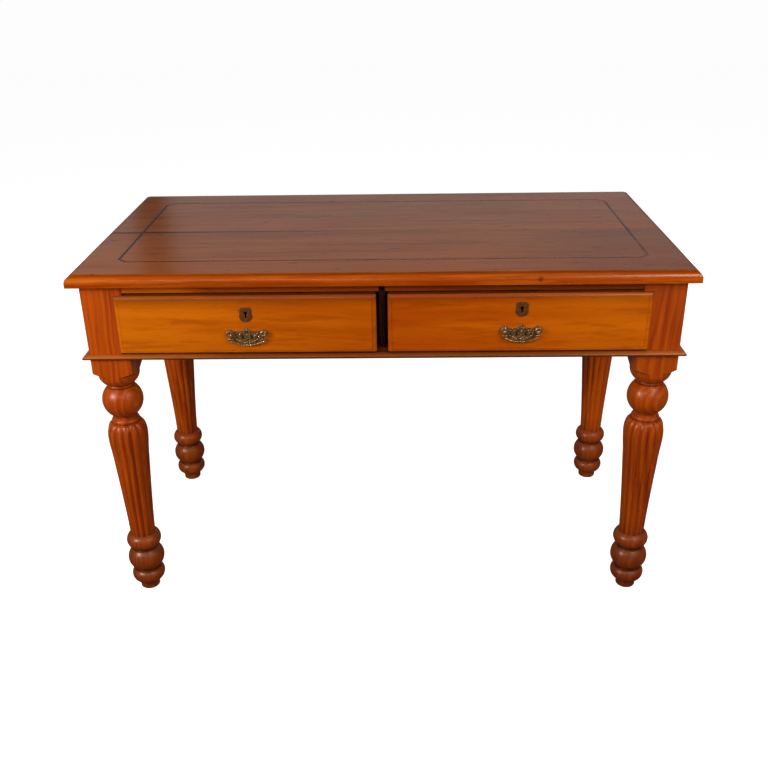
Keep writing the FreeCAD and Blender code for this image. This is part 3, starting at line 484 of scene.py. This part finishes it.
def old_metal(name, bright, dull, black, rough, recess_mm, metal):
    """Old metal that has gone dull: black in its hollows and rubbed bright where fingers touch it."""
    made, tree = new_material(name)
    place = add(tree, "TexCoord", out="Object")
    spread = add(tree, "VectorMath", (place, per_metre(5, 5)), operation="MULTIPLY")
    tarnish = add(tree, "TexNoise", {"Vector": spread, "Scale": 1.0, "Detail": 4.0, "Roughness": 0.65})
    grit_place = add(tree, "VectorMath", (place, per_metre(0.7, 0.7)), operation="MULTIPLY")
    grit = add(tree, "TexNoise", {"Vector": grit_place, "Scale": 1.0, "Detail": 2.0})
    open_air = add(tree, "AmbientOcclusion", {"Distance": recess_mm * MM}, out="AO", samples=8)
    hollow = add(tree, "MapRange", (open_air, 0.85, 0.35))
    tone = add(tree, "MapRange", (tarnish, 0.35, 0.65))
    colour = add(tree, "Mix", {SHARE: tone, UNDER: bright, OVER: dull}, out=RESULT, data_type="RGBA")
    colour = add(tree, "Mix", {SHARE: hollow, UNDER: colour, OVER: black}, out=RESULT, data_type="RGBA")
    metallic = add(tree, "MapRange", (hollow, 0.0, 1.0, metal, 0.15))
    shade = add(tree, "MapRange", (tarnish, 0.3, 0.7, rough - 0.08, rough + 0.12))
    normal = add(tree, "Bump", {"Height": grit, "Strength": 0.12, "Distance": 0.2 * MM})
    shader = add(tree, "BsdfPrincipled", {"Base Color": colour, "Metallic": metallic, "Roughness": shade,
                                          "Normal": normal})
    add(tree, "OutputMaterial", {"Surface": shader})
    return made


# The handles are cast brass, brown in the ground and bright on the ornament
handle_brass = old_metal("brass_cast_antique", "#e4b880", "#8c5e32", "#1a0c06",
                         rough=0.26, recess_mm=3.0, metal=0.85)
# The bolts' dished heads are turned brass, black at the bottom of the dish
bolt_brass = old_metal("brass_turned_dished", "#e4bc90", "#8c6038", "#180a04",
                       rough=0.28, recess_mm=6.0, metal=0.85)
# The key plates are stamped from sheet and have gone as dark as the wood
plate_brass = old_metal("brass_stamped_dark", "#a06434", "#74441c", "#1c0e06",
                        rough=0.40, recess_mm=1.5, metal=0.7)
# The locks are rolled brass, an even dull yellow, since no hand rubs them
lock_brass = old_metal("brass_rolled_dull", "#b08c4a", "#8a6a34", "#3a2810",
                       rough=0.40, recess_mm=2.0, metal=0.85)
# The screws are drawn iron, brown with rust
iron = old_metal("iron_drawn_rusted", "#5a5048", "#44342a", "#1c1410",
                 rough=0.50, recess_mm=1.5, metal=0.8)


# Each node's material, by its own name or else by its slot

slot_materials = {
    "inlay_wood": inlaid_line("ebonised_stringing_worn"),
    "inner_wood": bare_across,
    "handle_brass": handle_brass,
    "key_plate_brass": plate_brass,
    "lock_brass": lock_brass,
    "iron": iron,
}
material_of["centre_partition"] = partition_painted_shade
for side in SIDES:
    material_of[side + "_drawer_back"] = bare_along
    material_of[side + "_drawer_bottom"] = bare_along
    material_of[side + "_handle_bolts"] = bolt_brass
for node_name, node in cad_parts.items():
    slot_name = node.data.materials[0].name
    node.data.materials[0] = material_of.get(node_name) or slot_materials[slot_name]


# Cast relief on the handle plates and bevelled key plates

PLATE_THICKNESS_MM = 2.0
PALMETTE_UP_MM = -3.3
# Lumps of the casting: across and up from the middle of the bolt line, length, width and height, in
# millimetres, and turn from the level in degrees. Each lump of the half stands on both sides
MIDDLE_LUMPS = (
    (0, PALMETTE_UP_MM, 4.6, 4.6, 2.6, 0),
    (0, 9.2, 2.6, 2.6, 1.5, 0),
    (0, -12.4, 6.0, 2.8, 1.6, 90),
    (0, -19.4, 4.6, 5.0, 2.0, 0),
)
HALF_LUMPS = (
    (4.9, -15.6, 6.5, 2.2, 1.4, 40),
    (5.0, -20.2, 4.8, 3.0, 1.6, 8),
    (9.9, -18.4, 6.2, 2.8, 1.6, 20),
    (15.2, -15.9, 6.4, 2.8, 1.6, 30),
    (20.6, -12.9, 5.4, 2.6, 1.4, 36),
    (23.6, -7.4, 6.4, 2.2, 1.5, 46),
    (14.6, -7.6, 8.4, 2.2, 1.6, 78),
    (14.2, -1.4, 6.6, 2.4, 1.7, -30),
    (19.6, -1.2, 6.0, 2.6, 1.7, 24),
    (24.4, -0.8, 3.4, 3.4, 1.7, 0),
    (11.2, 1.6, 2.8, 2.8, 1.5, 0),
    (16.4, 2.2, 2.6, 2.2, 1.3, 0),
    (20.6, 2.4, 2.2, 2.0, 1.2, 0),
)
# The palmette's petals stand round its heart on an arch that is a little narrower than it is high
PETAL_TURNS = (44, 66, 90, 114, 136)
PETAL_REACH_MM = 8.3
PETAL_NARROWING = 0.9
PETAL_SIZE_MM = (6.4, 2.1, 1.9)

KEY_PLATE_BEVEL_MM = 0.4
ARRIS_ANGLE = math.radians(40)
SMOOTH_ANGLE = math.radians(38)


def add_lump(shape, middle, across, up, long, wide, high, turn):
    """A rounded lump standing half out of the plate's face."""
    seat = Matrix.Translation(middle + Vector((across, 0, up)) * MM)
    size = Matrix.Diagonal((long / 2 * MM, high * MM, wide / 2 * MM, 1))
    bmesh.ops.create_uvsphere(shape, u_segments=16, v_segments=10, radius=1,
                              matrix=seat @ Matrix.Rotation(-math.radians(turn), 4, "Y") @ size)


def finished_piece(name, shape, material, body, node_name):
    """Makes a piece from a shape, smooth apart from its arrises, that stands for a CAD node."""
    mesh = bpy.data.meshes.new(name)
    shape.to_mesh(mesh)
    shape.free()
    mesh.materials.clear()
    mesh.materials.append(material)
    mesh.shade_smooth()
    mesh.set_sharp_from_angle(angle=SMOOTH_ANGLE)
    piece = bpy.data.objects.new(name, mesh)
    bpy.context.scene.collection.objects.link(piece)
    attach(piece, body)
    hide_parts(node_name)


def merged_copy(node_name):
    """A CAD node's mesh as one shape, its triangles merged into flat faces."""
    shape = bmesh.new()
    shape.from_mesh(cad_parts[node_name].data)
    bmesh.ops.remove_doubles(shape, verts=shape.verts, dist=0.001 * MM)
    bmesh.ops.dissolve_limit(shape, angle_limit=math.radians(1), verts=shape.verts, edges=shape.edges)
    return shape


for side in SIDES:
    plate_low, plate_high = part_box(side + "_handle_plate")
    bolt_low, bolt_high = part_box(side + "_handle_bolts")
    face_middle = Vector(((plate_low[0] + plate_high[0]) / 2, plate_high[1] - PLATE_THICKNESS_MM * MM,
                          (bolt_low[2] + bolt_high[2]) / 2))
    casting = merged_copy(side + "_handle_plate")
    for lump in MIDDLE_LUMPS:
        add_lump(casting, face_middle, *lump)
    for across, up, long, wide, high, turn in HALF_LUMPS:
        add_lump(casting, face_middle, across, up, long, wide, high, turn)
        add_lump(casting, face_middle, -across, up, long, wide, high, -turn)
    for turn in PETAL_TURNS:
        across = PETAL_NARROWING * PETAL_REACH_MM * math.cos(math.radians(turn))
        up = PALMETTE_UP_MM + PETAL_REACH_MM * math.sin(math.radians(turn))
        add_lump(casting, face_middle, across, up, *PETAL_SIZE_MM, turn)
    finished_piece(side + "_cast_handle_plate", casting, handle_brass, side + "_drawer",
                   side + "_handle_plate")

    shield = merged_copy(side + "_key_plate")
    arrises = [e for e in shield.edges if len(e.link_faces) == 2 and e.calc_face_angle() > ARRIS_ANGLE]
    bmesh.ops.bevel(shield, geom=arrises, offset=KEY_PLATE_BEVEL_MM * MM, segments=3, affect="EDGES",
                    profile=0.5, material=-1)
    finished_piece(side + "_bevelled_key_plate", shield, plate_brass, side + "_drawer",
                   side + "_key_plate")


# Light

def softbox(name, place, aim, size, watts, mirrored=True):
    """A rectangular soft light at a place, turned to face the point that it is aimed at.

    A light that isn't mirrored brightens the wood without showing as a white patch in the varnish.
    """
    lamp = bpy.data.lights.new(name, "AREA")
    lamp.shape = "RECTANGLE"
    lamp.size, lamp.size_y = size
    lamp.energy = watts
    box = bpy.data.objects.new(name, lamp)
    box.location = place
    box.rotation_euler = (Vector(aim) - Vector(place)).to_track_quat("-Z", "Y").to_euler()
    box.visible_camera = False
    box.visible_glossy = mirrored
    bpy.context.scene.collection.objects.link(box)


softbox("key_softbox", (-1.65, -1.35, 1.25), aim=(-0.2, -0.3, 0.55), size=(0.55, 0.55), watts=25)
softbox("fill_softbox", (1.6, -1.7, 1.4), aim=(0.2, -0.3, 0.55), size=(2.2, 1.6), watts=24, mirrored=False)
softbox("high_softbox", (1.15, -1.5, 2.0), aim=(0.5, -0.3, 0.75), size=(0.5, 0.5), watts=8)
# Two strips over the camera draw the thin line of light along both ends of the mouldings
softbox("left_strip_light", (-0.68, -2.3, 1.85), aim=(-0.3, -0.3, 0.7), size=(1.25, 0.12), watts=6)
softbox("right_strip_light", (1.15, -2.3, 1.85), aim=(0.5, -0.3, 0.7), size=(0.8, 0.12), watts=5)
# Two white cards behind the desk, with a gap between them, lie as a pale veil over the varnished top
CARD_Y = 2.6
CARD_ENDS = {"main": (-1.147, 2.3), "left": (-2.7, -1.32)}
# Lower and upper edge, and how brightly each row of cards glows
CARD_ROWS = {"low": (1.15, 1.45, 0.38), "high": (1.45, 2.05, 0.31)}
for card, (left, right) in CARD_ENDS.items():
    for row, (bottom, top, glow) in CARD_ROWS.items():
        size = (right - left, top - bottom)
        middle = Vector(((left + right) / 2, CARD_Y, (bottom + top) / 2))
        # An even glow gives off pi times its brightness from each square metre
        softbox(card + "_card_" + row, middle, middle - Vector((0, 1, 0)), size,
                glow * math.pi * size[0] * size[1])
softbox("rear_softbox", (0.0, 2.3, 0.4), aim=(0.0, 0.3, 0.4), size=(3.0, 0.6), watts=16, mirrored=False)

AIR_GLOW = 0.05
world = bpy.data.worlds.new("studio_air")
bpy.context.scene.world = world
world.use_nodes = True
air = world.node_tree.nodes["Background"]
air.inputs["Color"].default_value = linear("#ffffff")
air.inputs["Strength"].default_value = AIR_GLOW


# A round paper sweep: a flat floor that curves up into a wall all round

FLOOR_RADIUS, CURVE_RADIUS, WALL_HEIGHT = 10.0, 4.0, 16.0
CURVE_STEPS, ROUND_STEPS = 12, 96
PAPER_GLOW = 0.94

outline = [(0.0, 0.0)]
for step in range(CURVE_STEPS + 1):
    turn = step * math.pi / 2 / CURVE_STEPS
    outline.append((FLOOR_RADIUS + CURVE_RADIUS * math.sin(turn), CURVE_RADIUS * (1 - math.cos(turn))))
outline.append((FLOOR_RADIUS + CURVE_RADIUS, WALL_HEIGHT))
sweep = bmesh.new()
corners = [sweep.verts.new((across, 0.0, up)) for across, up in outline]
edges = [sweep.edges.new(pair) for pair in zip(corners, corners[1:])]
bmesh.ops.spin(sweep, geom=corners + edges, cent=(0, 0, 0), axis=(0, 0, 1), angle=2 * math.pi,
               steps=ROUND_STEPS, use_merge=True)
bmesh.ops.remove_doubles(sweep, verts=sweep.verts, dist=MM)
floor_mesh = bpy.data.meshes.new("floor")
sweep.to_mesh(floor_mesh)
sweep.free()
floor_mesh.shade_smooth()
floor = bpy.data.objects.new("floor", floor_mesh)
bpy.context.scene.collection.objects.link(floor)
# Matt paper that glows evenly, so that it stays plain and pale from every side
paper, paper_tree = new_material("paper_sweep_matt")
paper_shader = add(paper_tree, "BsdfPrincipled", {"Base Color": "#d8d8d8", "Roughness": 0.9,
                                                  "Emission Color": "#ffffff",
                                                  "Emission Strength": PAPER_GLOW})
add(paper_tree, "OutputMaterial", {"Surface": paper_shader})
floor_mesh.materials.append(paper)
floor.visible_diffuse = False
floor.visible_glossy = False


# Camera at the photograph's angle

LENS_PIXELS = 916.8
IMAGE_PIXELS = 768
SENSOR_MM = 36
CAMERA_YAW, CAMERA_PITCH, CAMERA_ROLL = (math.radians(turn) for turn in (-1.20, 25.45, -0.88))
CAMERA_PLACE = (0.0369, -1.9804, 1.3294)
eye = bpy.data.cameras.new("camera")
eye.sensor_width = SENSOR_MM
eye.lens = SENSOR_MM * LENS_PIXELS / IMAGE_PIXELS
camera = bpy.data.objects.new("camera", eye)
facing = (Matrix.Rotation(-CAMERA_YAW, 4, "Z") @ Matrix.Rotation(math.pi / 2 - CAMERA_PITCH, 4, "X")
          @ Matrix.Rotation(CAMERA_ROLL, 4, "Z"))
camera.matrix_world = Matrix.Translation(CAMERA_PLACE) @ facing
bpy.context.scene.collection.objects.link(camera)
bpy.context.scene.camera = camera
bpy.context.scene.view_settings.view_transform = "Standard"
